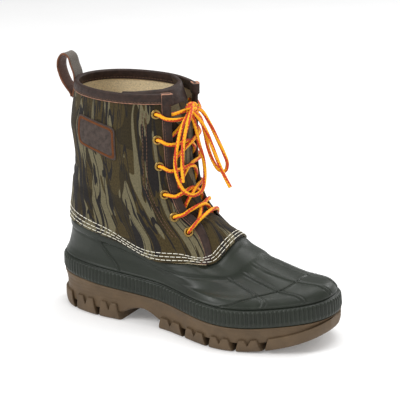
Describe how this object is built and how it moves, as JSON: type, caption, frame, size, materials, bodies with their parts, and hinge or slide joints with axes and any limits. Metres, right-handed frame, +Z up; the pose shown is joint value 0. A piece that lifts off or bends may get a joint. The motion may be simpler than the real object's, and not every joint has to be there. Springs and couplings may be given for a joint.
{
  "type": "duck boot",
  "caption": "Right lace-up duck boot: lugged sole, moulded rubber shell, patterned canvas shaft, rope lace tied in a bow.",
  "frame": {"origin": "centre of the flat heel lug's underside, on the floor under the heel", "axes": "+X towards the toe, +Y towards the inner side of the foot, +Z up"},
  "size_m": [0.3063, 0.1193, 0.2576],
  "materials": {
    "gum_rubber": "matt moulded brown rubber",
    "green_rubber": "satin moulded green grey rubber",
    "camo_canvas": "cotton canvas printed with a bark and branch pattern",
    "brown_leather": "matt dark brown leather with a raw tan edge",
    "patch_leather": "matt brown leather with a stitched border",
    "felt": "beige fleece lining",
    "brass": "antique brass",
    "lace_rope": "round braided cord, yellow and red orange"
  },
  "bodies": {
    "root": {"outsole": "gum_rubber", "shell": "green_rubber", "rand": "green_rubber", "insole": "felt", "upper": "camo_canvas", "eyelet_outer_1": "brass", "eyelet_outer_2": "brass", "eyelet_outer_3": "brass", "eyelet_outer_4": "brass", "eyelet_outer_5": "brass", "eyelet_outer_6": "brass", "eyelet_inner_1": "brass", "eyelet_inner_2": "brass", "eyelet_inner_3": "brass", "eyelet_inner_4": "brass", "eyelet_inner_5": "brass", "eyelet_inner_6": "brass", "tongue": "camo_canvas", "collar_binding": "brown_leather", "facing_binding_outer": "brown_leather", "facing_binding_inner": "brown_leather", "patch": "patch_leather", "pull_loop": "brown_leather", "lace_crossing_1": "lace_rope", "lace_crossing_2": "lace_rope", "lace_crossing_3": "lace_rope", "lace_crossing_4": "lace_rope", "lace_crossing_5": "lace_rope", "lace_bar": "lace_rope", "lace_knot": "lace_rope", "lace_tie": "lace_rope", "lace_loop_outer": "lace_rope", "lace_loop_inner": "lace_rope", "lace_end_outer": "lace_rope", "lace_end_inner": "lace_rope"}
  },
  "joints": []
}
